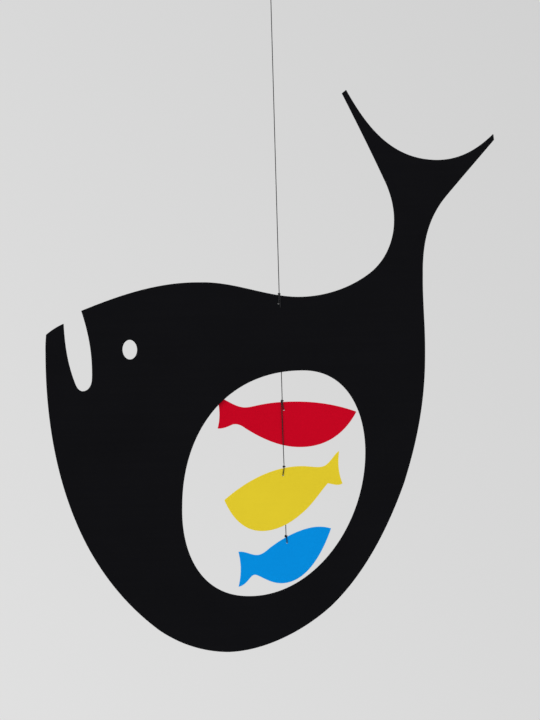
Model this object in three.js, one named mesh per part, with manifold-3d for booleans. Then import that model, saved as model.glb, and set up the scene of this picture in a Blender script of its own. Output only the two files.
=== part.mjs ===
// A hanging mobile: a big flat black fish on a thread, with three small flat fish strung below one
// another on the same thread in the opening of its belly. Every fish is cut from plastic sheet.
// Millimetres. +X is to the right and +Z up for a viewer who faces the mobile, and +Y points away.
// The origin is the inner top of the thread's end loop, where a hook carries the mobile.
import * as THREE from 'three';
import { mergeVertices } from 'three/addons/utils/BufferGeometryUtils.js';
import Module from 'manifold-3d';

// The fish, as cut and as they hang: across and up
const BLACK_FISH_WIDTH = 325.5;
const BLACK_FISH_HEIGHT = 400;
const RED_FISH_WIDTH = 100;
const RED_FISH_HEIGHT = 38.5;
const YELLOW_FISH_WIDTH = 85;
const YELLOW_FISH_HEIGHT = 56;
const BLUE_FISH_WIDTH = 67.5;
const BLUE_FISH_HEIGHT = 41.5;
const BLACK_SHEET_THICKNESS = 1;
const SMALL_SHEET_THICKNESS = 0.8;
const EYE_WIDTH = 10.4;
const EYE_HEIGHT = 14;

// The thread and its ties
const THREAD_DIAMETER = 0.6;
const KNOT_WIDTH = 3.5 * THREAD_DIAMETER;
const KNOT_HEIGHT = 3 * THREAD_DIAMETER;
const CLEARANCE = 0.15;
// Each fish's hole: its centre's distance below the edge, and right of the thread's line
const HOLE_DIAMETER = 0.9;
const BLACK_HOLE_INSET = 6;
const BLACK_HOLE_RIGHT = -0.6;
const RED_HOLE_INSET = 5.85;
const RED_HOLE_RIGHT = 1;
const YELLOW_HOLE_INSET = 5.4;
const YELLOW_HOLE_RIGHT = -0.95;
const BLUE_HOLE_INSET = 4.2;
const BLUE_HOLE_RIGHT = 0.65;
// The thread leaves the red fish's knot beside the loop that holds the fish
const BESIDE_RED_LOOP = -0.5;
// How far right of its drawn place a fish is tied to the thread
const YELLOW_FISH_RIGHT = -0.6;
const BLUE_FISH_RIGHT = -0.65;

// How far apart things hang
const HANGING_LENGTH = 228;
const LOOP_HEIGHT = 13;
const LOOP_WIDTH = 7;
const RIM_TO_RED_FISH = 21.3;
const RED_TO_YELLOW_FISH = 14.5;
const YELLOW_TO_BLUE_FISH = 4.85;

// How finely curves are stepped
const DRAWING_STEPS = 40;
const LONG_STEP = 4;
const SHORT_STEP = 2;
const FEWEST_STEPS = 5;
const HOLE_STEPS = 16;
const EYE_STEPS = 24;
const THREAD_SIDES = 8;
const TIE_STEPS = 26;
const LOOP_STEPS = 28;
const STRAIGHT_STEP = 8;
const KNOT_STEPS_ROUND = 10;
const KNOT_STEPS_DOWN = 8;

const THREAD_RADIUS = THREAD_DIAMETER / 2;

const wasm = await Module();
wasm.setup();

// Outlines, drawn as x and z from the point of the upper edge where the thread is tied. They hold
// only proportions: each fish is scaled to its own width and height afterwards.

function blackFishOutline() {
  const outline = new THREE.Path();
  outline.moveTo(122, 358);
  // Tail: outer edge of the upper fluke, down the stem to the back
  outline.bezierCurveTo(148, 303, 173, 249, 197, 193);
  outline.bezierCurveTo(205, 172, 210, 150, 209, 127);
  outline.bezierCurveTo(208, 93, 193, 57, 163, 35);
  // Back: the saddle where it is tied, the hump and the forehead
  outline.bezierCurveTo(130, 11, 85, -5, 35, -4);
  outline.bezierCurveTo(1, -3, -31, 7, -63, 15);
  outline.bezierCurveTo(-90, 22, -116, 27, -141, 27);
  outline.bezierCurveTo(-218, 30, -288, 7, -355, -18);
  // Mouth: a slot that runs down from the forehead, round at its end
  outline.bezierCurveTo(-344, -55, -337, -92, -339, -137);
  outline.bezierCurveTo(-339, -152, -346, -162, -356, -162);
  outline.bezierCurveTo(-362, -162, -367, -156, -370, -146);
  outline.bezierCurveTo(-382, -112, -386, -78, -387, -40);
  // Lip and chin
  outline.bezierCurveTo(-399, -45, -409, -51, -419, -59);
  outline.bezierCurveTo(-420, -68, -421, -77, -421, -92);
  outline.bezierCurveTo(-424, -203, -410, -330, -355, -441);
  // Belly, from the chin round the bottom to the back end
  outline.bezierCurveTo(-326, -498, -287, -550, -231, -594);
  outline.bezierCurveTo(-196, -619, -156, -634, -111, -636);
  outline.bezierCurveTo(-49, -637, 23, -605, 76, -560);
  outline.bezierCurveTo(141, -502, 185, -417, 214, -342);
  outline.bezierCurveTo(241, -264, 256, -193, 258, -113);
  // Stem and lower fluke, with its blunt tip
  outline.bezierCurveTo(260, -64, 256, -20, 258, 30);
  outline.bezierCurveTo(259, 86, 270, 130, 303, 168);
  outline.lineTo(392, 267);
  outline.lineTo(391, 278);
  // Fork of the tail, back to the blunt tip of the upper fluke
  outline.bezierCurveTo(362, 251, 330, 233, 289, 234);
  outline.bezierCurveTo(209, 237, 166, 295, 130, 364);
  outline.lineTo(122, 358);
  return outline;
}

function bellyOpening() {
  const opening = new THREE.Path();
  opening.moveTo(39, -136);
  opening.bezierCurveTo(118, -138, 148, -213, 146, -285);
  opening.bezierCurveTo(142, -420, 44, -540, -68, -537);
  opening.bezierCurveTo(-155, -536, -189, -457, -184, -372);
  opening.bezierCurveTo(-180, -238, -98, -132, 39, -136);
  return opening;
}

function eyeCentre() {
  return new THREE.Vector2(-270, -90);
}

function redFishOutline() {
  const outline = new THREE.Path();
  outline.moveTo(-470, 58);
  outline.bezierCurveTo(-406, 33, -336, -31, -264, -32);
  outline.bezierCurveTo(-206, -33, -133, 6, 97, 0);
  outline.bezierCurveTo(255, -4, 398, -33, 528, -85);
  // Nose, and back along the belly
  outline.bezierCurveTo(442, -239, 307, -334, 116, -328);
  outline.bezierCurveTo(-28, -324, -155, -258, -265, -185);
  // Tail
  outline.bezierCurveTo(-296, -160, -323, -146, -357, -152);
  outline.bezierCurveTo(-394, -166, -426, -183, -468, -178);
  outline.bezierCurveTo(-447, -116, -444, -23, -470, 58);
  return outline;
}

function yellowFishOutline() {
  const outline = new THREE.Path();
  outline.moveTo(475, 133);
  // Tail, at the upper right
  outline.bezierCurveTo(458, 30, 464, -62, 496, -144);
  outline.bezierCurveTo(460, -167, 418, -149, 372, -139);
  // Belly, and round to the nose at the lower left
  outline.bezierCurveTo(306, -210, 237, -317, 140, -391);
  outline.bezierCurveTo(49, -466, -69, -530, -196, -526);
  outline.bezierCurveTo(-352, -521, -447, -401, -504, -256);
  // Back
  outline.bezierCurveTo(-332, -112, -100, 18, 157, 12);
  outline.bezierCurveTo(233, 10, 300, -11, 347, 9);
  outline.bezierCurveTo(402, 37, 428, 103, 475, 133);
  return outline;
}

function blueFishOutline() {
  const outline = new THREE.Path();
  outline.moveTo(490, 85);
  // Belly, from the nose at the upper right
  outline.bezierCurveTo(368, -238, 185, -491, -57, -484);
  outline.bezierCurveTo(-184, -480, -282, -388, -332, -386);
  // Tail, at the lower left
  outline.bezierCurveTo(-383, -384, -409, -490, -510, -510);
  outline.bezierCurveTo(-474, -384, -472, -257, -501, -137);
  outline.bezierCurveTo(-439, -126, -366, -175, -308, -176);
  outline.bezierCurveTo(-255, -178, -211, -141, -172, -109);
  // Back
  outline.bezierCurveTo(-74, -37, 43, 32, 182, 76);
  outline.bezierCurveTo(289, 110, 385, 118, 490, 85);
  return outline;
}

// How much larger than its drawing a fish of this width and height is, across and up.
function scaleOf(outline, width, height) {
  const drawn = new THREE.Box2().setFromPoints(outline.getPoints(DRAWING_STEPS)).getSize(new THREE.Vector2());
  return new THREE.Vector2(width / drawn.x, height / drawn.y);
}

// Points along a drawn path at its real size. A straight side has only its ends.
function steppedPoints(path, scale, step) {
  const points = [];
  for (const side of path.curves) {
    const length = side.getLength() * Math.max(scale.x, scale.y);
    const steps = side.isLineCurve ? 1 : Math.max(FEWEST_STEPS, Math.ceil(length / step));
    points.push(...side.getPoints(steps).slice(1).map((point) => point.multiply(scale)));
  }
  return points;
}

function fishPoints(outline, width, height, step) {
  return steppedPoints(outline, scaleOf(outline, width, height), step);
}

function ellipsePoints(x, y, width, height, steps) {
  return new THREE.EllipseCurve(x, y, width / 2, height / 2).getPoints(steps).slice(1);
}

// A flat fish: its outline and holes, as a sheet that is centred on its own plane.
function sheetGeometry(points, holes, thickness) {
  const shape = new THREE.Shape(points);
  shape.holes.push(...holes);
  const geometry = new THREE.ExtrudeGeometry(shape, { depth: thickness, bevelEnabled: false });
  geometry.rotateX(Math.PI / 2);
  geometry.translate(0, thickness / 2, 0);
  return geometry;
}

function lowestPoint(points) {
  return Math.min(...points.map((point) => point.y));
}

// The highest point at which a closed outline crosses the thread's line.
function highestOnThread(points) {
  let highest = -Infinity;
  points.forEach((point, index) => {
    const next = points[(index + 1) % points.length];
    if ((point.x < 0) !== (next.x < 0)) {
      const share = point.x / (point.x - next.x);
      highest = Math.max(highest, point.y + share * (next.y - point.y));
    }
  });
  return highest;
}

// A fish moved sideways on its tie. Its edge keeps its height at the thread.
function movedOnTie(points, right) {
  const moved = points.map((point) => point.clone().setX(point.x + right));
  const up = highestOnThread(points) - highestOnThread(moved);
  return moved.map((point) => point.setY(point.y + up));
}

// Thread

function toSolid(geometry) {
  const bare = geometry.clone();
  bare.deleteAttribute('normal');
  bare.deleteAttribute('uv');
  const merged = mergeVertices(bare);
  const vertProperties = new Float32Array(merged.attributes.position.array);
  const triVerts = new Uint32Array(merged.index.array);
  return new wasm.Manifold(new wasm.Mesh({ numProp: 3, vertProperties, triVerts }));
}

function toGeometry(solid) {
  const mesh = solid.getMesh();
  const geometry = new THREE.BufferGeometry();
  geometry.setAttribute('position', new THREE.BufferAttribute(mesh.vertProperties, 3));
  geometry.setIndex(new THREE.BufferAttribute(mesh.triVerts, 1));
  geometry.computeVertexNormals();
  return geometry;
}

function joined(geometries) {
  return toGeometry(geometries.map(toSolid).reduce((whole, solid) => whole.add(solid)));
}

function strand(path, steps) {
  const section = ellipsePoints(0, 0, THREAD_DIAMETER, THREAD_DIAMETER, THREAD_SIDES);
  return new THREE.ExtrudeGeometry(new THREE.Shape(section), { steps, extrudePath: path });
}

function bentStrand(points, steps) {
  return strand(new THREE.CatmullRomCurve3(points, false, 'centripetal'), steps);
}

function straightStrand(x, top, bottom) {
  const line = new THREE.LineCurve3(new THREE.Vector3(x, 0, top), new THREE.Vector3(0, 0, bottom));
  return strand(line, Math.ceil((top - bottom) / STRAIGHT_STEP));
}

function knot(height) {
  const geometry = new THREE.SphereGeometry(1, KNOT_STEPS_ROUND, KNOT_STEPS_DOWN);
  geometry.rotateX(Math.PI / 2);
  geometry.scale(KNOT_WIDTH / 2, KNOT_WIDTH / 2, KNOT_HEIGHT / 2);
  geometry.translate(0, 0, height);
  return geometry;
}

// The knot that holds a fish sits just above the fish's edge.
const KNOT_ABOVE_EDGE = CLEARANCE + KNOT_HEIGHT / 2;
const KNOT_TOP = CLEARANCE + KNOT_HEIGHT;

// The loop of a tie: from the knot down in front of the sheet, through the hole and up behind it.
function tieLoop(sheetPlane, thickness, holeRight, holeInset) {
  const reach = thickness / 2 + CLEARANCE + THREAD_RADIUS;
  const front = sheetPlane - reach;
  const back = sheetPlane + reach;
  const cornerReach = (CLEARANCE + THREAD_RADIUS) * Math.SQRT1_2;
  const holeTop = HOLE_DIAMETER / 2 - holeInset;
  const point = (x, y, z) => new THREE.Vector3(x, y, z);
  return bentStrand([
    point(0, 0, KNOT_ABOVE_EDGE),
    point(0, front, 0),
    point(holeRight / 2, front, holeTop / 2),
    point(holeRight, front, holeTop),
    point(holeRight, sheetPlane - thickness / 2 - cornerReach, holeTop - cornerReach),
    point(holeRight, sheetPlane, holeTop - CLEARANCE - THREAD_RADIUS),
    point(holeRight, sheetPlane + thickness / 2 + cornerReach, holeTop - cornerReach),
    point(holeRight, back, holeTop),
    point(holeRight / 2, back, holeTop / 2),
    point(0, back, 0),
    point(0, 0, KNOT_ABOVE_EDGE),
  ], TIE_STEPS);
}

// The end loop that goes over a hook: a drop shape whose inner top is the origin.
function endLoop(knotHeight) {
  // One side of the drop: shares of its half width and of its height, from the knot up
  const side = [[0.6, 0.7], [1, 0.34], [0.7, 0.07]];
  const half = LOOP_WIDTH / 2 + THREAD_RADIUS;
  const sidePoints = (turn) => side.map(([across, down]) => (
    new THREE.Vector3(turn * across * half, 0, -down * LOOP_HEIGHT)
  ));
  return bentStrand([
    new THREE.Vector3(0, 0, knotHeight),
    ...sidePoints(-1),
    new THREE.Vector3(0, 0, THREAD_RADIUS),
    ...sidePoints(1).reverse(),
    new THREE.Vector3(0, 0, knotHeight),
  ], LOOP_STEPS);
}

// Finishes

const BLACK = new THREE.MeshStandardMaterial({ color: 0x111114, roughness: 0.6, metalness: 0 });
const RED = new THREE.MeshStandardMaterial({ color: 0xbc0522, roughness: 0.55, metalness: 0 });
const YELLOW = new THREE.MeshStandardMaterial({ color: 0xdec62d, roughness: 0.55, metalness: 0 });
const BLUE = new THREE.MeshStandardMaterial({ color: 0x018ada, roughness: 0.55, metalness: 0 });
const THREAD = new THREE.MeshStandardMaterial({ color: 0x26262a, roughness: 0.9, metalness: 0 });

const mobile = new THREE.Group();

function addMesh(name, geometry, material, y, z) {
  const mesh = new THREE.Mesh(geometry, material);
  mesh.name = name;
  mesh.position.set(0, y, z);
  mobile.add(mesh);
}

// How far a sheet's middle lies from the thread that runs down its face.
function planeBeside(thickness) {
  return thickness / 2 + CLEARANCE + THREAD_RADIUS;
}

// Fish, in the order in which they hang

const blackScale = scaleOf(blackFishOutline(), BLACK_FISH_WIDTH, BLACK_FISH_HEIGHT);
const blackPoints = steppedPoints(blackFishOutline(), blackScale, LONG_STEP);
const bellyPoints = steppedPoints(bellyOpening(), blackScale, LONG_STEP);
const eyeAt = eyeCentre().multiply(blackScale);
const redPoints = fishPoints(redFishOutline(), RED_FISH_WIDTH, RED_FISH_HEIGHT, SHORT_STEP);
const yellowDrawn = fishPoints(yellowFishOutline(), YELLOW_FISH_WIDTH, YELLOW_FISH_HEIGHT, SHORT_STEP);
const blueDrawn = fishPoints(blueFishOutline(), BLUE_FISH_WIDTH, BLUE_FISH_HEIGHT, SHORT_STEP);
const yellowPoints = movedOnTie(yellowDrawn, YELLOW_FISH_RIGHT);
const bluePoints = movedOnTie(blueDrawn, BLUE_FISH_RIGHT);

const blackEdge = -HANGING_LENGTH;
const redEdge = blackEdge + highestOnThread(bellyPoints) - RIM_TO_RED_FISH;
const yellowEdge = redEdge + lowestPoint(redPoints) - RED_TO_YELLOW_FISH;
const blueEdge = yellowEdge + lowestPoint(yellowPoints) - YELLOW_TO_BLUE_FISH;

// The opening of the black fish's belly, and its eye
const blackHoles = [
  new THREE.Path(bellyPoints),
  new THREE.Path(ellipsePoints(eyeAt.x, eyeAt.y, EYE_WIDTH, EYE_HEIGHT, EYE_STEPS)),
];

// The thread passes behind the black fish, before the red one and behind the yellow one. The blue
// fish is the last and hangs in line with it.
const FISH = [
  {
    name: 'black_fish',
    points: blackPoints,
    holes: blackHoles,
    edge: blackEdge,
    thickness: BLACK_SHEET_THICKNESS,
    plane: -planeBeside(BLACK_SHEET_THICKNESS),
    holeRight: BLACK_HOLE_RIGHT,
    holeInset: BLACK_HOLE_INSET,
    material: BLACK,
    thread: 'thread_black_to_red',
    threadStart: 0,
  },
  {
    name: 'red_fish',
    points: redPoints,
    holes: [],
    edge: redEdge,
    thickness: SMALL_SHEET_THICKNESS,
    plane: planeBeside(SMALL_SHEET_THICKNESS),
    holeRight: RED_HOLE_RIGHT,
    holeInset: RED_HOLE_INSET,
    material: RED,
    thread: 'thread_red_to_yellow',
    threadStart: BESIDE_RED_LOOP,
  },
  {
    name: 'yellow_fish',
    points: yellowPoints,
    holes: [],
    edge: yellowEdge,
    thickness: SMALL_SHEET_THICKNESS,
    plane: -planeBeside(SMALL_SHEET_THICKNESS),
    holeRight: YELLOW_HOLE_RIGHT,
    holeInset: YELLOW_HOLE_INSET,
    material: YELLOW,
    thread: 'thread_yellow_to_blue',
    threadStart: 0,
  },
  {
    name: 'blue_fish',
    points: bluePoints,
    holes: [],
    edge: blueEdge,
    thickness: SMALL_SHEET_THICKNESS,
    plane: 0,
    holeRight: BLUE_HOLE_RIGHT,
    holeInset: BLUE_HOLE_INSET,
    material: BLUE,
    thread: 'blue_fish_tie',
  },
];

// The hanging thread runs from its end loop to just above the black fish's knot
const endKnot = -LOOP_HEIGHT - KNOT_HEIGHT / 2;
addMesh('hanging_thread', joined([
  endLoop(endKnot),
  knot(endKnot),
  straightStrand(0, endKnot, blackEdge + KNOT_TOP + CLEARANCE),
]), THREAD, 0, 0);

FISH.forEach((fish, index) => {
  const threadHole = ellipsePoints(fish.holeRight, -fish.holeInset, HOLE_DIAMETER, HOLE_DIAMETER, HOLE_STEPS);
  const holes = [new THREE.Path(threadHole), ...fish.holes];
  addMesh(fish.name, sheetGeometry(fish.points, holes, fish.thickness), fish.material, fish.plane, fish.edge);

  // Its knot and loop, and the thread on from there to just above the next fish's knot
  const thread = [
    knot(KNOT_ABOVE_EDGE),
    tieLoop(fish.plane, fish.thickness, fish.holeRight, fish.holeInset),
  ];
  const next = FISH[index + 1];
  if (next) {
    const end = next.edge + KNOT_TOP + CLEARANCE - fish.edge;
    thread.push(straightStrand(fish.threadStart, KNOT_ABOVE_EDGE, end));
  }
  addMesh(fish.thread, joined(thread), THREAD, 0, fish.edge);
});

export default mobile;
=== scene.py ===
import math

import bmesh
import bpy
import numpy as np
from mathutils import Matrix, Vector
from mathutils.geometry import delaunay_2d_cdt


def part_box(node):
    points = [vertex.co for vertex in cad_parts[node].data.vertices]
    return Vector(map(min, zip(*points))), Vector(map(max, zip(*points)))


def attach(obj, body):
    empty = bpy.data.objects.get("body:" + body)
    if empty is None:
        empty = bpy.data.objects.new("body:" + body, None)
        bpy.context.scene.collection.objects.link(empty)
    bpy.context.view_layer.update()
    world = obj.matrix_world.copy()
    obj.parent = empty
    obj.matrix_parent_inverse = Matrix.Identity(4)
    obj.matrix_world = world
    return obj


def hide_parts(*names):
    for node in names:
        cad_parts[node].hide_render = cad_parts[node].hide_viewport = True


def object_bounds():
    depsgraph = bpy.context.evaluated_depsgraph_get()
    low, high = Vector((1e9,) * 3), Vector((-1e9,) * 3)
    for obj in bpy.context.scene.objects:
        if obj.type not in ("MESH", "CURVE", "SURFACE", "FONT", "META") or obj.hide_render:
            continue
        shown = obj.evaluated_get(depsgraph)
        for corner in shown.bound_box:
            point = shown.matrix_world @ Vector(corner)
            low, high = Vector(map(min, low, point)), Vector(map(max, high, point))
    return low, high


# A hanging mobile: a big flat black fish on a thread, and three small flat fish strung below one
# another in the opening of its belly. Metres; a viewer faces it along +Y, with +X to the right.

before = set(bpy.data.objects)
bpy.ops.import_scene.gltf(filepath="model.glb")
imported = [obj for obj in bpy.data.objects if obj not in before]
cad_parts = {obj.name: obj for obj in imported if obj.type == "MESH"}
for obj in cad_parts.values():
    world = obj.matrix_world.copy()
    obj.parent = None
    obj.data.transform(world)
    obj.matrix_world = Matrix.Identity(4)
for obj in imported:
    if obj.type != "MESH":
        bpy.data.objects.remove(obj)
cad_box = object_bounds()

MM = 0.001
FULL_TURN = 2 * math.pi

# The photograph, as seen straight on
PHOTO_HEIGHT = 720
MM_PER_PIXEL = 0.7163
SENSOR_LONG_SIDE = 36
CAMERA_DISTANCE = 3.0
CAMERA_LEAN = math.radians(1.62)
# The middle of the picture, right of and above the tie on the black fish's edge
MIDDLE_RIGHT = -7.914 * MM
MIDDLE_UP = -46.24 * MM

# The thread and its ties, as in the solids
THREAD_DIAMETER = 0.6 * MM
THREAD_RADIUS = THREAD_DIAMETER / 2
KNOT_WIDTH = 3.5 * THREAD_DIAMETER
KNOT_HEIGHT = 3 * THREAD_DIAMETER
CLEARANCE = 0.15 * MM
KNOT_TOP = CLEARANCE + KNOT_HEIGHT
HOLE_RADIUS = 0.45 * MM
LOOP_HEIGHT = 13 * MM
LOOP_WIDTH = 7 * MM
BESIDE_RED_LOOP = -0.5 * MM

# How the thread is made
PLIES = 3
TWIST_LENGTH = 2.1 * MM
GROOVE_DEPTH = 0.2
# The plies reach out this far, so that the thread's width, over a crest and a groove, is its diameter
PLY_REACH = THREAD_RADIUS / (1 - GROOVE_DEPTH / 2)
THREAD_SIDES = 15
THREAD_STEP = 0.16 * MM
LINE_STEP = 8 * THREAD_STEP

# How the thread is tied
COIL_RADIUS = KNOT_WIDTH / 2 - THREAD_RADIUS
COIL_STEPS = 16
# A coil's radius at its two ends, as a share of that in its middle
COIL_ENDS = 0.86
TIE_TURNS = 2.5
END_LOOP_TURNS = 2
FROM_THE_RIGHT = 0
FROM_BEHIND = math.radians(90)
# A loop's strands stop this far inside the knot
CORE_DEPTH = 3 * THREAD_RADIUS
# A line runs down to the middle of a knot, and the next one leaves this far over the fish's edge
LINE_LEAVES = CLEARANCE + KNOT_HEIGHT / 4
# A short end sticks out from the last turn: two steps, as shares of its length
SHORT_END = 1.5 * MM
TIE_END_STEPS = ((-0.35, -0.1, 0.05), (-0.6, -0.7, 0.15))
END_LOOP_END_STEPS = ((0.1, 0.4, 0.1), (0.5, 0.8, 0.5))
# A long end hangs to the right of the knot: its course as shares of this and of its length
LONG_END_RIGHT = 0.5 * MM
LONG_END_COURSE = ((1, 0.1), (0.9, 0.5), (1.1, 1))
# One side of the end loop, as shares of half its width and of its height, from the knot up
LOOP_SIDE = ((0.26, 0.9), (0.6, 0.7), (0.9, 0.47), (1, 0.3), (0.93, 0.15), (0.7, 0.05))
# The two strands of a loop lie this far from the knot's middle where they leave it
STRAND_OFFSET = 0.6 * THREAD_RADIUS
STRAND_HEIGHT = CLEARANCE + 2 * THREAD_RADIUS
# A loop lies this far off the sheet, and bends round the sheet's edges at this radius
LOOP_GAP = 0.04 * MM
BEND_RADIUS = THREAD_RADIUS + LOOP_GAP
BEND_STEP = math.radians(20)
STEPS_INTO_HOLE = 4
# Where a strand has points between the sheet's edge and the hole, as shares of the way
ALONG_STRAND = (0.3, 0.7)

# The sheets
EDGE_RADIUS = 0.14 * MM
EDGE_STEPS = 3
CORNER_ANGLE = math.radians(40)
CORNER_RADIUS = 0.3 * MM
CORNER_STEPS = 5
# Points of the outline closer to a corner than this many times its arc's reach are left out
CORNER_ROOM = 1.2
# A corner of the outline moves into the sheet by the inset over one plus the cosine of its turn.
# That sum counts as no less than this, so that a sharp corner doesn't run far into the sheet
LEAST_OPENING = 0.3
# A small outline has about this many points, unless they would come closer than the step
HOLE_STEP = 0.12 * MM
HOLE_POINTS = 60
WORN_AND_HIGHLIT_BAND = 0.7 * MM
# How far the rim of a face is mixed towards its lighter colour, partly wear and partly painted highlight,
# beside 1 on the cut edge and 0 inside
RIM_WEAR_AND_HIGHLIGHT = 0.5
# The inner points keep off the outlines by these shares of the band and of the grid's spacing
BAND_ROOM = 0.7
GRID_ROOM = 0.6
# A face that looks at the viewer has a normal with a Y below this
FACES_VIEWER = -0.5
MERGE_DISTANCE = 1e-6
SHORTEST = 1e-9


# The camera

def camera_at(tie):
    data = bpy.data.cameras.new("camera")
    data.sensor_fit = "AUTO"
    data.sensor_width = SENSOR_LONG_SIDE
    data.lens = SENSOR_LONG_SIDE * CAMERA_DISTANCE / (PHOTO_HEIGHT * MM_PER_PIXEL * MM)
    camera = bpy.data.objects.new("camera", data)
    camera.location = tie + Vector((MIDDLE_RIGHT, -CAMERA_DISTANCE, MIDDLE_UP))
    camera.rotation_euler = (math.radians(90), CAMERA_LEAN, 0)
    bpy.context.scene.collection.objects.link(camera)
    bpy.context.scene.camera = camera


# The nodes of all materials and of the thread

def add(tree, kind, settings=(), links=()):
    """A node, with its settings by attribute or input. What is linked to an input is a socket, or a
    node for that node's first output."""
    node = tree.nodes.new(kind)
    for name, value in dict(settings).items():
        if isinstance(name, str) and hasattr(node, name):
            setattr(node, name, value)
        else:
            node.inputs[name].default_value = value
    for name, source in dict(links).items():
        socket = source.outputs[0] if isinstance(source, bpy.types.Node) else source
        tree.links.new(socket, node.inputs[name])
    return node


# Routes

def smooth_curve(points, step, closed=False):
    """Points along a smooth (centripetal) curve through the given ones."""
    points = [Vector(point) for point in points]
    if closed:
        around = [points[-1], *points, points[0], points[1]]
    else:
        around = [2 * points[0] - points[1], *points, 2 * points[-1] - points[-2]]
    result = [points[0]]
    for before, start, end, after in zip(around, around[1:], around[2:], around[3:]):
        near = math.sqrt(max((start - before).length, SHORTEST))
        across = math.sqrt(max((end - start).length, SHORTEST))
        far = math.sqrt(max((after - end).length, SHORTEST))
        into = ((start - before) / near - (end - before) / (near + across)) * across + (end - start)
        out = ((after - end) / far - (after - start) / (across + far)) * across + (end - start)
        count = max(1, math.ceil((end - start).length / step))
        for index in range(1, count + 1):
            t = index / count
            result.append(
                start * (2 * t**3 - 3 * t**2 + 1) + into * (t**3 - 2 * t**2 + t)
                + end * (3 * t**2 - 2 * t**3) + out * (t**3 - t**2)
            )
    return result[:-1] if closed else result


def coil(start_height, end_height, start_angle, turns, sag=0):
    """Turns of thread round the knot's core, a little fuller in the middle. Their front may sag."""
    count = round(turns * COIL_STEPS)
    points = []
    for index in range(count + 1):
        share = index / count
        angle = start_angle + FULL_TURN * turns * share
        radius = COIL_RADIUS * (COIL_ENDS + (1 - COIL_ENDS) * math.sin(math.pi * share))
        height = start_height + (end_height - start_height) * share
        height -= sag * max(-math.sin(angle), 0)
        points.append(Vector((radius * math.cos(angle), radius * math.sin(angle), height)))
    return points


def strand_down(face, outward, leaves_right, hole_right, hole_top, into_hole):
    """One strand of a tie, from the knot over the sheet's edge and down its face into the hole.
    The points are made as distance off the face and height, with the edge's corner at zero."""
    knot_off = (outward * STRAND_OFFSET - face) * outward
    to_knot = math.atan2(STRAND_HEIGHT, knot_off)
    touch = to_knot - math.acos(BEND_RADIUS / math.hypot(STRAND_HEIGHT, knot_off))
    profile = [(knot_off, STRAND_HEIGHT)]
    for index in range(max(0, math.ceil(touch / BEND_STEP)), 0, -1):
        angle = touch * index / math.ceil(touch / BEND_STEP)
        profile.append((BEND_RADIUS * math.cos(angle), BEND_RADIUS * math.sin(angle)))
    profile += [(BEND_RADIUS, share * hole_top) for share in ALONG_STRAND]
    for index in range(STEPS_INTO_HOLE):
        angle = index * BEND_STEP
        profile.append((BEND_RADIUS * math.cos(angle), hole_top - into_hole * math.sin(angle)))
    points = []
    for off, height in profile:
        share = min(max(height / hole_top, 0), 1)
        points.append((leaves_right + (hole_right - leaves_right) * share, face + outward * off, height))
    return points


def long_end(from_y, front_face, length):
    """A thread end that goes over the sheet's edge, beside the front strand, and straight down."""
    short_side = BEND_RADIUS * math.sin(BEND_STEP)
    long_side = BEND_RADIUS * math.cos(BEND_STEP)
    over_edge = [
        (0.6 * LONG_END_RIGHT, (from_y + front_face) / 2, 1.3 * BEND_RADIUS),
        (LONG_END_RIGHT, front_face - short_side, long_side),
        (LONG_END_RIGHT, front_face - long_side, short_side),
    ]
    off = front_face - BEND_RADIUS
    return over_edge + [(right * LONG_END_RIGHT, off, -down * length) for right, down in LONG_END_COURSE]


def tie_route(edge, front_face, back_face, tie):
    """From the knot down before the sheet, through its hole, up behind it and round the knot."""
    hole_right = tie["hole_right"]
    hole_top = HOLE_RADIUS - tie["hole_inset"]
    into_hole = BEND_RADIUS + tie["slack"]
    core_top = KNOT_TOP - CORE_DEPTH
    loop = smooth_curve([
        (0, -STRAND_OFFSET, core_top),
        *strand_down(front_face, -1, tie["leaves_right"], hole_right, hole_top, into_hole),
        (hole_right, (front_face + back_face) / 2, hole_top - into_hole),
        *reversed(strand_down(back_face, 1, 0, hole_right, hole_top, into_hole)),
        (0, STRAND_OFFSET, core_top),
    ], THREAD_STEP)
    top_turn = KNOT_TOP - 2 * THREAD_RADIUS
    turns = coil(top_turn, CLEARANCE + THREAD_RADIUS, FROM_BEHIND, TIE_TURNS, tie["knot_sags"])
    if tie["long_end"]:
        end = long_end(turns[-1].y, front_face, tie["long_end"])
    else:
        end = [turns[-1] + Vector(step) * SHORT_END for step in TIE_END_STEPS]
    route = loop + smooth_curve([loop[-1], *turns, *end], THREAD_STEP)[1:]
    return [point + edge for point in route]


def end_loop_route(knot_middle):
    """The loop that goes over a hook: up one side, down the other and round the knot."""
    half = LOOP_WIDTH / 2 + THREAD_RADIUS
    top = knot_middle + KNOT_HEIGHT / 2
    bottom = knot_middle - KNOT_HEIGHT / 2
    loop = smooth_curve([
        (-STRAND_OFFSET, 0, bottom + CORE_DEPTH),
        (-STRAND_OFFSET, 0, top - THREAD_RADIUS),
        *[(-across * half, 0, -down * LOOP_HEIGHT) for across, down in LOOP_SIDE],
        (0, 0, THREAD_RADIUS),
        *[(across * half, 0, -down * LOOP_HEIGHT) for across, down in reversed(LOOP_SIDE)],
        (STRAND_OFFSET, 0, top - THREAD_RADIUS),
        (STRAND_OFFSET, 0, bottom + CORE_DEPTH),
    ], THREAD_STEP)
    turns = coil(bottom + THREAD_RADIUS, top - THREAD_RADIUS, FROM_THE_RIGHT, END_LOOP_TURNS)
    end = [turns[-1] + Vector(step) * SHORT_END for step in END_LOOP_END_STEPS]
    return loop + smooth_curve([loop[-1], *turns, *end], THREAD_STEP)[1:]


# The thread itself: three plies laid together, swept along a route

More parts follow.
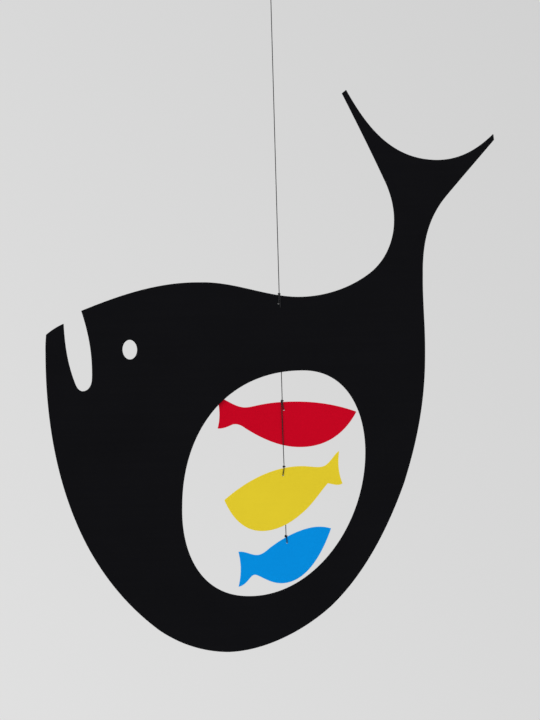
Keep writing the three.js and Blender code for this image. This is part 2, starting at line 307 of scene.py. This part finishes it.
def thread_tree():
    tree = bpy.data.node_groups.new("twisted_thread", "GeometryNodeTree")
    sockets = (
        ("Route", "NodeSocketGeometry"), ("Radius", "NodeSocketFloat"), ("Plies", "NodeSocketInt"),
        ("Twist length", "NodeSocketFloat"), ("Groove depth", "NodeSocketFloat"),
        ("Sides", "NodeSocketInt"), ("Step", "NodeSocketFloat"), ("Material", "NodeSocketMaterial"),
    )
    for name, kind in sockets:
        tree.interface.new_socket(name, in_out="INPUT", socket_type=kind)
    tree.interface.new_socket("Thread", in_out="OUTPUT", socket_type="NodeSocketGeometry")
    given = add(tree, "NodeGroupInput").outputs

    # The section: a circle with a groove between each two plies
    circle = add(tree, "GeometryNodeCurvePrimitiveCircle", {"Radius": 1}, {"Resolution": given["Sides"]})
    around = add(tree, "GeometryNodeSplineParameter")
    turn = add(
        tree, "ShaderNodeMath", {"operation": "MULTIPLY", 1: FULL_TURN}, {0: around.outputs["Factor"]},
    )
    turns = add(tree, "ShaderNodeMath", {"operation": "MULTIPLY"}, {0: turn, 1: given["Plies"]})
    wave = add(tree, "ShaderNodeMath", {"operation": "COSINE"}, {0: turns})
    crest = add(tree, "ShaderNodeMapRange", {"From Min": -1, "From Max": 1}, {0: wave})
    depth = add(tree, "ShaderNodeMath", {"operation": "SUBTRACT", 0: 1}, {1: crest})
    groove = add(
        tree, "ShaderNodeMath", {"operation": "MULTIPLY"}, {0: depth, 1: given["Groove depth"]},
    )
    share = add(tree, "ShaderNodeMath", {"operation": "SUBTRACT", 0: 1}, {1: groove})
    radius = add(tree, "ShaderNodeMath", {"operation": "MULTIPLY"}, {0: share, 1: given["Radius"]})
    place = add(tree, "GeometryNodeInputPosition")
    named = add(
        tree, "GeometryNodeStoreNamedAttribute",
        {"data_type": "FLOAT_VECTOR", "domain": "POINT", "Name": "place_in_section"},
        {"Geometry": circle, "Value": place},
    )
    crested = add(
        tree, "GeometryNodeStoreNamedAttribute", {"data_type": "FLOAT", "domain": "POINT", "Name": "crest"},
        {"Geometry": named, "Value": crest},
    )
    scaled = add(
        tree, "ShaderNodeVectorMath", {"operation": "SCALE"}, {0: place, "Scale": radius},
    )
    section = add(
        tree, "GeometryNodeSetPosition", (), {"Geometry": crested, "Position": scaled},
    )

    # The route: evenly stepped, and turned as it goes along
    route = add(tree, "GeometryNodeMeshToCurve", (), {"Mesh": given["Route"]})
    stepped = add(
        tree, "GeometryNodeResampleCurve", {"mode": "LENGTH"},
        {"Curve": route, "Length": given["Step"]},
    )
    along = add(tree, "GeometryNodeSplineParameter")
    measured = add(
        tree, "GeometryNodeStoreNamedAttribute", {"data_type": "FLOAT", "domain": "POINT", "Name": "along"},
        {"Geometry": stepped, "Value": along.outputs["Length"]},
    )
    twists = add(
        tree, "ShaderNodeMath", {"operation": "DIVIDE"},
        {0: along.outputs["Length"], 1: given["Twist length"]},
    )
    tilt = add(tree, "ShaderNodeMath", {"operation": "MULTIPLY", 1: FULL_TURN}, {0: twists})
    twisted = add(
        tree, "GeometryNodeSetCurveTilt", (), {"Curve": measured, "Tilt": tilt},
    )
    swept = add(
        tree, "GeometryNodeCurveToMesh", {"Fill Caps": True},
        {"Curve": twisted, "Profile Curve": section},
    )
    smooth = add(tree, "GeometryNodeSetShadeSmooth", (), {"Geometry": swept})
    real = add(tree, "GeometryNodeRealizeInstances", (), {"Geometry": smooth})
    finished = add(
        tree, "GeometryNodeSetMaterial", (), {"Geometry": real, "Material": given["Material"]},
    )
    add(tree, "NodeGroupOutput", (), {"Thread": finished})
    return tree


def thread_piece(name, route, body, node, tree, material):
    """A length of thread along a route, in place of (part of) a CAD node."""
    line = bpy.data.meshes.new(name + "_route")
    line.from_pydata([tuple(point) for point in route], [(i, i + 1) for i in range(len(route) - 1)], [])
    host = bpy.data.objects.new(name + "_route", line)
    bpy.context.scene.collection.objects.link(host)
    modifier = host.modifiers.new("thread", "NODES")
    modifier.node_group = tree
    values = {
        "Radius": PLY_REACH, "Plies": PLIES, "Twist length": TWIST_LENGTH, "Groove depth": GROOVE_DEPTH,
        "Sides": THREAD_SIDES, "Step": THREAD_STEP, "Material": material,
    }
    for socket in tree.interface.items_tree:
        if socket.in_out == "INPUT" and socket.name in values:
            modifier[socket.identifier] = values[socket.name]
    evaluated = host.evaluated_get(bpy.context.evaluated_depsgraph_get())
    mesh = bpy.data.meshes.new_from_object(evaluated)
    mesh.name = name
    bpy.data.objects.remove(host)
    piece = bpy.data.objects.new(name, mesh)
    bpy.context.scene.collection.objects.link(piece)
    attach(piece, body)
    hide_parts(node)
    return piece


# Materials

def linear(colour):
    """An sRGB hex colour as the linear values that a shader takes."""
    values = [int(colour[i:i + 2], 16) / 255 for i in (1, 3, 5)]
    return (*[v / 12.92 if v <= 0.04045 else ((v + 0.055) / 1.055) ** 2.4 for v in values], 1)


def new_material(name):
    material = bpy.data.materials.new(name)
    material.use_nodes = True
    material.node_tree.nodes.clear()
    return material, material.node_tree


# Calendered plastic sheet, coloured right through, with a matt face: an even, deep colour that
# shows no gloss, with a fine grain, faint rolling streaks and hardly visible handling marks.
# Its rim is a shade lighter: partly worn, partly a painted highlight along the cut edge.
GRAIN_SIZE = 0.9 * MM         # the real grain is about 0.1 mm, and too fine to show
STREAK_WIDTH = 2.5 * MM
STREAK_LENGTH = 90 * MM
STREAK_SHARE = 0.4
MOTTLE_SIZE = 45 * MM
SHEET_IOR = 1.49
SHEET_GLOSS = 0.04
SHEET_ROUGHNESS_SPREAD = 0.05


def sheet_material(name, colour, darker, worn_and_highlit, roughness):
    material, tree = new_material(name)
    place = add(tree, "ShaderNodeTexCoord").outputs["Object"]
    grain = add(
        tree, "ShaderNodeTexNoise", {"Scale": 1 / GRAIN_SIZE, "Detail": 2, "Roughness": 0.6},
        {"Vector": place},
    )
    stretched = add(
        tree, "ShaderNodeMapping",
        {"Scale": (1 / STREAK_LENGTH, 1 / STREAK_WIDTH, 1 / STREAK_WIDTH)}, {"Vector": place},
    )
    streaks = add(tree, "ShaderNodeTexNoise", {"Scale": 1, "Detail": 3}, {"Vector": stretched})
    mottle = add(
        tree, "ShaderNodeTexNoise", {"Scale": 1 / MOTTLE_SIZE, "Detail": 4, "Roughness": 0.55},
        {"Vector": place},
    )
    mixed = add(
        tree, "ShaderNodeMath", {"operation": "MULTIPLY_ADD", 1: STREAK_SHARE},
        {0: streaks, 2: mottle},
    )
    spread = add(tree, "ShaderNodeMapRange", {"From Min": 0.45, "From Max": 0.95}, {0: mixed})
    base = add(
        tree, "ShaderNodeMix", {"data_type": "RGBA", 6: linear(darker), 7: linear(colour)},
        {0: spread},
    )
    # The rim of the face turns a shade lighter: partly wear, partly a painted highlight where the cut edge
    # catches the light
    rim = add(tree, "ShaderNodeAttribute", {"attribute_name": "rim"})
    rub_and_highlight = add(tree, "ShaderNodeMath", {"operation": "MULTIPLY"}, {0: rim.outputs["Fac"], 1: grain})
    rubbed_and_highlit = add(
        tree, "ShaderNodeMix", {"data_type": "RGBA", 7: linear(worn_and_highlit)}, {0: rub_and_highlight, 6: base.outputs[2]},
    )
    smoothest = roughness - SHEET_ROUGHNESS_SPREAD
    roughest = roughness + SHEET_ROUGHNESS_SPREAD
    matt = add(
        tree, "ShaderNodeMapRange",
        {"From Min": 0.3, "From Max": 0.7, "To Min": smoothest, "To Max": roughest},
        {0: mottle},
    )
    bump = add(tree, "ShaderNodeBump", {"Strength": 0.25, "Distance": 0.05 * MM}, {"Height": grain})
    shader = add(
        tree, "ShaderNodeBsdfPrincipled", {"IOR": SHEET_IOR, "Specular IOR Level": SHEET_GLOSS},
        {"Base Color": rubbed_and_highlit.outputs[2], "Roughness": matt, "Normal": bump},
    )
    add(tree, "ShaderNodeOutputMaterial", (), {"Surface": shader})
    return material


# The cut edge of the same sheet: smoother than its face and a shade lighter, partly whitened by the
# knife and partly a painted highlight, with the fine lines that the knife leaves across its thickness.
KNIFE_LINE = 0.35 * MM


def edge_material(name, colour, lighter):
    material, tree = new_material(name)
    place = add(tree, "ShaderNodeTexCoord").outputs["Object"]
    across = add(
        tree, "ShaderNodeMapping", {"Scale": (1 / KNIFE_LINE, 0.05 / KNIFE_LINE, 1 / KNIFE_LINE)},
        {"Vector": place},
    )
    lines = add(
        tree, "ShaderNodeTexNoise", {"Scale": 1, "Detail": 2, "Roughness": 0.7}, {"Vector": across},
    )
    # The lighter colour on the cut edge is partly the knife's whitening, partly a painted highlight
    base = add(
        tree, "ShaderNodeMix", {"data_type": "RGBA", 6: linear(colour), 7: linear(lighter)},
        {0: lines},
    )
    bump = add(tree, "ShaderNodeBump", {"Strength": 0.3, "Distance": 0.03 * MM}, {"Height": lines})
    shader = add(
        tree, "ShaderNodeBsdfPrincipled",
        {"IOR": SHEET_IOR, "Specular IOR Level": SHEET_GLOSS, "Roughness": 0.45},
        {"Base Color": base.outputs[2], "Normal": bump},
    )
    add(tree, "ShaderNodeOutputMaterial", (), {"Surface": shader})
    return material


# Twisted polyester sewing thread, dyed black: dull dark grey on the crests of the plies, nearly
# black in the grooves between them, where the darkening is painted shade, with the faint sheen of the
# fibres.
FIBRE_LENGTH = 1.2 * MM
FIBRES_ACROSS = 6
GROOVE_PAINTED_SHADE = "#0c0c0e"
CREST_COLOUR = "#2c2c30"


def thread_material():
    material, tree = new_material("twisted_polyester_thread_black")
    section = add(tree, "ShaderNodeAttribute", {"attribute_name": "place_in_section"})
    along = add(tree, "ShaderNodeAttribute", {"attribute_name": "along"})
    crest = add(tree, "ShaderNodeAttribute", {"attribute_name": "crest"})
    across = add(
        tree, "ShaderNodeVectorMath", {"operation": "SCALE", "Scale": FIBRES_ACROSS},
        {0: section.outputs["Vector"]},
    )
    length = add(
        tree, "ShaderNodeMath", {"operation": "MULTIPLY", 1: 1 / FIBRE_LENGTH}, {0: along.outputs["Fac"]},
    )
    lift = add(tree, "ShaderNodeCombineXYZ", (), {"Z": length})
    place = add(tree, "ShaderNodeVectorMath", {"operation": "ADD"}, {0: across, 1: lift})
    fibres = add(
        tree, "ShaderNodeTexNoise", {"Scale": 1, "Detail": 2, "Roughness": 0.6}, {"Vector": place},
    )
    height = add(
        tree, "ShaderNodeMath", {"operation": "MULTIPLY"}, {0: crest.outputs["Fac"], 1: fibres},
    )
    shade = add(tree, "ShaderNodeMapRange", {"From Min": 0.1, "From Max": 0.6}, {0: height})
    # Darker towards the grooves between the plies: painted shade, mixed with the fibres' own random tone
    base = add(
        tree, "ShaderNodeMix", {"data_type": "RGBA", 6: linear(GROOVE_PAINTED_SHADE), 7: linear(CREST_COLOUR)},
        {0: shade},
    )
    bump = add(tree, "ShaderNodeBump", {"Strength": 0.4, "Distance": 0.02 * MM}, {"Height": fibres})
    shader = add(
        tree, "ShaderNodeBsdfPrincipled",
        {"Roughness": 0.8, "Specular IOR Level": 0.25, "Sheen Weight": 0.15, "Sheen Roughness": 0.4},
        {"Base Color": base.outputs[2], "Normal": bump},
    )
    add(tree, "ShaderNodeOutputMaterial", (), {"Surface": shader})
    return material


# The sheets

def rim_loops(node):
    """The closed outlines of a sheet's front face, each with the sheet on its left hand."""
    mesh = bmesh.new()
    mesh.from_mesh(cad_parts[node].data)
    bmesh.ops.remove_doubles(mesh, verts=mesh.verts, dist=MERGE_DISTANCE)
    mesh.normal_update()
    following = {}
    for face in mesh.faces:
        if face.normal.y > FACES_VIEWER:
            continue
        for corner in face.loops:
            other = [side for side in corner.edge.link_faces if side != face]
            if other and other[0].normal.y > FACES_VIEWER:
                following[corner.vert.index] = corner.link_loop_next.vert.index
    mesh.verts.ensure_lookup_table()
    loops = []
    while following:
        start = next(iter(following))
        loop = []
        at = start
        while at in following:
            loop.append(Vector((mesh.verts[at].co.x, mesh.verts[at].co.z)))
            at = following.pop(at)
        loops.append(loop)
    mesh.free()
    return loops


def turn_at(before, corner, after):
    """The angle by which a path turns at a point, positive to the left."""
    into = corner - before
    out = after - corner
    return math.atan2(into.x * out.y - into.y * out.x, into.dot(out))


def rounded_corner(before, corner, after):
    """A small arc in place of a corner, and how far along either side it reaches."""
    turn = turn_at(before, corner, after)
    reach = CORNER_RADIUS * math.tan(abs(turn) / 2)
    into = (corner - before).normalized()
    start = corner - into * reach
    spoke = Vector((into.y, -into.x)) * math.copysign(CORNER_RADIUS, turn)
    middle = start - spoke
    arc = []
    for index in range(CORNER_STEPS + 1):
        angle = turn * index / CORNER_STEPS
        sine, cosine = math.sin(angle), math.cos(angle)
        arc.append(middle + Vector((spoke.x * cosine - spoke.y * sine, spoke.x * sine + spoke.y * cosine)))
    return arc, reach


def smooth_loop(points, step):
    """A closed outline drawn smooth through its points, with its corners kept and just rounded."""
    count = len(points)
    corners = [
        i for i in range(count)
        if abs(turn_at(points[i - 1], points[i], points[(i + 1) % count])) > CORNER_ANGLE
    ]
    flat = [Vector((p.x, p.y, 0)) for p in points]
    if not corners:
        return [p.to_2d() for p in smooth_curve(flat, step, closed=True)]
    spans = []
    for index, corner in enumerate(corners):
        end = corners[(index + 1) % len(corners)]
        span = [flat[(corner + i) % count] for i in range((end - corner - 1) % count + 2)]
        spans.append([p.to_2d() for p in smooth_curve(span, step)])
    arcs = []
    for index, span in enumerate(spans):
        following = spans[(index + 1) % len(spans)]
        arcs.append(rounded_corner(span[-2], span[-1], following[1]))
    result = []
    for index, span in enumerate(spans):
        _, reach_before = arcs[index - 1]
        arc, reach = arcs[index]
        for point in span[1:-1]:
            clear_before = (point - span[0]).length > CORNER_ROOM * reach_before
            clear_after = (point - span[-1]).length > CORNER_ROOM * reach
            if clear_before and clear_after:
                result.append(point)
        result += arc
    return result


def inset_loop(points, inset):
    """The outline moved into the sheet, which is on its left hand."""
    moved = []
    count = len(points)
    for index, point in enumerate(points):
        into = (point - points[index - 1]).normalized()
        out = (points[(index + 1) % count] - point).normalized()
        left = Vector((-into.y - out.y, into.x + out.x))
        left /= max(1 + into.dot(out), LEAST_OPENING)
        moved.append(point + left * inset)
    return moved


def inside(grid, loops):
    """Which grid points lie in the sheet, by counting the outlines that each passes under."""
    result = np.zeros(len(grid), bool)
    for loop in loops:
        ends = np.array([tuple(p) for p in loop])
        starts = np.roll(ends, 1, axis=0)
        for (x0, y0), (x1, y1) in zip(starts, ends):
            if x0 == x1:
                continue
            across = (grid[:, 0] > min(x0, x1)) & (grid[:, 0] <= max(x0, x1))
            height = y0 + (grid[:, 0] - x0) * (y1 - y0) / (x1 - x0)
            result ^= across & (grid[:, 1] < height)
    return result


def far_from(grid, points, distance):
    """Which grid points keep at least this distance from all the others."""
    keep = np.ones(len(grid), bool)
    for point in points:
        keep &= np.hypot(grid[:, 0] - point.x, grid[:, 1] - point.y) > distance
    return keep


def sheet_mesh(name, node, step, spacing, bow):
    """The sheet of a CAD node with smooth outlines, rounded cut edges and a slight bow."""
    low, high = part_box(node)
    loops = []
    for loop in rim_loops(node):
        around = sum((b - a).length for a, b in zip(loop, loop[1:]))
        loops.append(smooth_loop(loop, min(step, max(HOLE_STEP, around / HOLE_POINTS))))
    faces_at = [inset_loop(loop, EDGE_RADIUS) for loop in loops]
    rim_points = [point for loop in faces_at for point in loop]

    # Points inside: a band close to the edge, then an even grid
    across = np.arange(low.x, high.x, spacing)
    up = np.arange(low.z, high.z, spacing * math.sqrt(3) / 2)
    grid = np.array([(x + (row % 2) * spacing / 2, z) for row, z in enumerate(up) for x in across])
    grid = grid[inside(grid, faces_at)]
    grid = grid[far_from(grid, rim_points, spacing * GRID_ROOM)]
    band = np.array([tuple(p) for loop in loops for p in inset_loop(loop, WORN_AND_HIGHLIT_BAND)])
    band = band[inside(band, faces_at)]
    band = band[far_from(band, rim_points, WORN_AND_HIGHLIT_BAND * BAND_ROOM)]
    inner = [Vector(p) for p in np.concatenate([band, grid])]

    edges = []
    first = 0
    for loop in faces_at:
        edges += [(first + i, first + (i + 1) % len(loop)) for i in range(len(loop))]
        first += len(loop)
    points, _, triangles, sources, _, _ = delaunay_2d_cdt(rim_points + inner, edges, [], 1, MERGE_DISTANCE)
    if len(points) != len(rim_points) + len(inner):
        raise RuntimeError(f"{name}: the outlines of the sheet cross or touch each other")
    corners = [[points[i] for i in triangle] for triangle in triangles]
    centres = np.array([tuple(sum(three, Vector((0, 0))) / 3) for three in corners])
    solid = inside(centres, faces_at)
    place = {source: index for index, found in enumerate(sources) for source in found}

    half = max(-low.x, high.x)
    mesh = bmesh.new()
    rim = mesh.verts.layers.float.new("rim")

    def vertex(point, y, worn_and_highlit):
        vert = mesh.verts.new((point.x, y + bow * (point.x / half) ** 2, point.y))
        vert[rim] = worn_and_highlit
        return vert

    sides = []
    for y in (low.y, high.y):
        wear_and_highlight = [RIM_WEAR_AND_HIGHLIGHT if source[0] < len(rim_points) else 0 for source in sources]
        sides.append([vertex(point, y, worn_and_highlit) for point, worn_and_highlit in zip(points, wear_and_highlight)])
    for triangle, kept in zip(triangles, solid):
        if kept:
            mesh.faces.new([sides[0][i] for i in triangle])
            mesh.faces.new([sides[1][i] for i in reversed(triangle)])

    # The cut edge, rounded towards both faces
    quarter = [math.radians(90) * k / EDGE_STEPS for k in range(1, EDGE_STEPS + 1)]
    profile = [(1 - math.sin(a), 1 - math.cos(a)) for a in quarter]
    first = 0
    for loop in loops:
        rings = [[sides[0][place[first + i]] for i in range(len(loop))]]
        for inset, depth in profile:
            ring = inset_loop(loop, inset * EDGE_RADIUS)
            rings.append([vertex(p, low.y + depth * EDGE_RADIUS, 1) for p in ring])
        for inset, depth in reversed(profile):
            ring = inset_loop(loop, inset * EDGE_RADIUS)
            rings.append([vertex(p, high.y - depth * EDGE_RADIUS, 1) for p in ring])
        rings.append([sides[1][place[first + i]] for i in range(len(loop))])
        first += len(loop)
        for near, far in zip(rings, rings[1:]):
            for i in range(len(loop)):
                face = mesh.faces.new([near[i - 1], far[i - 1], far[i], near[i]])
                face.material_index = 1
    for face in mesh.faces:
        face.smooth = True
    for edge in mesh.edges:
        if len({face.material_index for face in edge.link_faces}) > 1:
            edge.smooth = False
    data = bpy.data.meshes.new(name)
    mesh.to_mesh(data)
    mesh.free()
    return data


def sheet_piece(name, node, body, mesh, materials):
    piece = bpy.data.objects.new(name, mesh)
    bpy.context.scene.collection.objects.link(piece)
    for material in materials:
        mesh.materials.append(material)
    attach(piece, body)
    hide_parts(node)
    return piece


# What differs from one fish to the next, from the top down. A hole's place is given below the
# fish's edge and right of the thread's line. The front strand leaves the knot this far right, the
# loop hangs slack in the hole by a little, and a knot may sag over the front of the sheet.
FISH = (
    {
        "name": "black_fish", "slot": "black_sheet", "thread_node": "thread_black_to_red",
        "hole_right": -0.6 * MM, "hole_inset": 6 * MM, "leaves_right": -0.15 * MM,
        "slack": 0.18 * MM, "knot_sags": 0, "long_end": 9 * MM,
        "line_from": 0, "line": "line_to_red_fish",
        "step": 1.2 * MM, "spacing": 7 * MM, "bow": -0.5 * MM,
        "colour": "#0e0e11", "darker": "#0b0b0e", "worn_and_highlit": "#17171a", "roughness": 0.68,
    },
    {
        "name": "red_fish", "slot": "red_sheet", "thread_node": "thread_red_to_yellow",
        "hole_right": 1 * MM, "hole_inset": 5.85 * MM, "leaves_right": 0,
        "slack": 0, "knot_sags": 0.35 * MM, "long_end": 0,
        "line_from": BESIDE_RED_LOOP, "line": "line_to_yellow_fish",
        "step": 0.8 * MM, "spacing": 4 * MM, "bow": 0.15 * MM,
        "colour": "#c90020", "darker": "#c4001e", "worn_and_highlit": "#d22038", "roughness": 0.6,
    },
    {
        "name": "yellow_fish", "slot": "yellow_sheet", "thread_node": "thread_yellow_to_blue",
        "hole_right": -0.95 * MM, "hole_inset": 5.4 * MM, "leaves_right": 0,
        "slack": 0.2 * MM, "knot_sags": 0, "long_end": 0,
        "line_from": 0, "line": "line_to_blue_fish",
        "step": 0.8 * MM, "spacing": 4 * MM, "bow": -0.12 * MM,
        "colour": "#e6ce2e", "darker": "#e2ca2c", "worn_and_highlit": "#eedb59", "roughness": 0.6,
    },
    {
        "name": "blue_fish", "slot": "blue_sheet", "thread_node": "blue_fish_tie",
        "hole_right": 0.65 * MM, "hole_inset": 4.2 * MM, "leaves_right": 0.35 * MM,
        "slack": 0.2 * MM, "knot_sags": 0.35 * MM, "long_end": 0,
        "line_from": 0, "line": None,
        "step": 0.8 * MM, "spacing": 4 * MM, "bow": 0.12 * MM,
        "colour": "#0091e4", "darker": "#008de0", "worn_and_highlit": "#2fa4ea", "roughness": 0.6,
    },
)


def edge_of(fish):
    """Where the thread's line meets the fish's upper edge: its knot's top is KNOT_TOP above."""
    return Vector((0, 0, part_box(fish["thread_node"])[1].z - KNOT_TOP))


camera_at(edge_of(FISH[0]))

thread = thread_material()
twist = thread_tree()
loop_knot = -LOOP_HEIGHT - KNOT_HEIGHT / 2


def line_route(x, top, bottom):
    """A taut stretch, whose two ends run into the cores of the knots."""
    start = Vector((x, 0, top))
    end = Vector((0, 0, bottom))
    count = math.ceil((start - end).length / LINE_STEP)
    return [start.lerp(end, i / count) for i in range(count + 1)]


end_loop = thread_piece(
    "end_loop", end_loop_route(loop_knot), "hanging_thread", "hanging_thread", twist, thread,
)
black_knot = edge_of(FISH[0]).z + KNOT_TOP - KNOT_HEIGHT / 2
hanging_route = line_route(0, black_knot, loop_knot)
hanging_line = thread_piece(
    "hanging_line", hanging_route, "hanging_thread", "hanging_thread", twist, thread,
)

for fish, following in zip(FISH, (*FISH[1:], None)):
    edge = edge_of(fish)
    low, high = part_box(fish["name"])
    tie = tie_route(edge, low.y, high.y, fish)
    thread_piece(fish["name"] + "_knot", tie, fish["name"], fish["thread_node"], twist, thread)
    if following:
        top = edge.z + LINE_LEAVES
        bottom = edge_of(following).z + KNOT_TOP - KNOT_HEIGHT / 2
        route = line_route(fish["line_from"], top, bottom)
        line = thread_piece(fish["line"], route, fish["name"], fish["thread_node"], twist, thread)

for fish in FISH:
    name = fish["name"]
    mesh = sheet_mesh(name + "_sheet", name, fish["step"], fish["spacing"], fish["bow"])
    face = sheet_material(
        "matt_plastic_sheet_" + name, fish["colour"], fish["darker"], fish["worn_and_highlit"], fish["roughness"],
    )
    cut = edge_material("cut_plastic_edge_" + name, fish["colour"], fish["worn_and_highlit"])
    sheet_piece(name + "_sheet", name, name, mesh, [face, cut])


# A pale studio: an even backdrop far away, a floor well below and large soft lights

BACKDROP = "#d9d9d9"
BACKDROP_RIGHT = -0.4
BACKDROP_UP = -0.31
BACKDROP_DARKEST, BACKDROP_LIGHTEST = 0.63, 0.745
AMBIENT = 0.68
FLOOR_HEIGHT = -2.2
FLOOR_RADIUS = 17
FLOOR_SIDES = 96
FLOOR_DARKEST, FLOOR_LIGHTEST = "#e6e6e6", "#ebebeb"
LIGHT_SIZE = 1.6
LIGHTS = (
    ("left_light", (-2.6, -2.2, 1.2), 34),
    ("right_light", (2.6, -2.2, 0.6), 26),
    ("back_light", (-1.5, 3.0, 1.0), 34),
)


def studio_world():
    world = bpy.data.worlds.new("pale_studio")
    bpy.context.scene.world = world
    world.use_nodes = True
    tree = world.node_tree
    tree.nodes.clear()
    direction = add(tree, "ShaderNodeTexCoord").outputs["Generated"]
    slope = add(
        tree, "ShaderNodeVectorMath",
        {"operation": "DOT_PRODUCT", 1: (BACKDROP_RIGHT, 0, BACKDROP_UP)}, {0: direction},
    )
    level = add(
        tree, "ShaderNodeMath", {"operation": "ADD", 1: linear(BACKDROP)[0]}, {0: slope.outputs["Value"]},
    )
    kept = add(
        tree, "ShaderNodeClamp", {"Min": BACKDROP_DARKEST, "Max": BACKDROP_LIGHTEST},
        {"Value": level},
    )
    seen = add(tree, "ShaderNodeLightPath").outputs["Is Camera Ray"]
    shown = add(tree, "ShaderNodeMix", {"data_type": "FLOAT", 2: AMBIENT}, {0: seen, 3: kept})
    background = add(tree, "ShaderNodeBackground", (), {"Color": shown})
    add(tree, "ShaderNodeOutputWorld", (), {"Surface": background})


def soft_light(name, place, target, watts):
    data = bpy.data.lights.new(name, "AREA")
    data.shape = "SQUARE"
    data.size = LIGHT_SIZE
    data.energy = watts
    light = bpy.data.objects.new(name, data)
    light.location = place
    light.rotation_euler = (Vector(target) - Vector(place)).to_track_quat("-Z", "Y").to_euler()
    bpy.context.scene.collection.objects.link(light)


def pale_floor():
    mesh = bmesh.new()
    bmesh.ops.create_circle(mesh, cap_ends=True, segments=FLOOR_SIDES, radius=FLOOR_RADIUS)
    bmesh.ops.translate(mesh, verts=mesh.verts, vec=(0, 0, FLOOR_HEIGHT))
    data = bpy.data.meshes.new("pale_floor")
    mesh.to_mesh(data)
    mesh.free()
    floor = bpy.data.objects.new("pale_floor", data)
    bpy.context.scene.collection.objects.link(floor)
    material, tree = new_material("painted_studio_floor")
    place = add(tree, "ShaderNodeTexCoord").outputs["Object"]
    clouds = add(tree, "ShaderNodeTexNoise", {"Scale": 1.5, "Detail": 4}, {"Vector": place})
    base = add(
        tree, "ShaderNodeMix", {"data_type": "RGBA", 6: linear(FLOOR_DARKEST), 7: linear(FLOOR_LIGHTEST)},
        {0: clouds},
    )
    shader = add(
        tree, "ShaderNodeBsdfPrincipled", {"Roughness": 0.8, "Specular IOR Level": 0.2},
        {"Base Color": base.outputs[2]},
    )
    add(tree, "ShaderNodeOutputMaterial", (), {"Surface": shader})
    data.materials.append(material)


studio_world()
pale_floor()
middle = (cad_box[0] + cad_box[1]) / 2
for light_name, place, watts in LIGHTS:
    soft_light(light_name, place, middle, watts)
bpy.context.scene.view_settings.view_transform = "Standard"
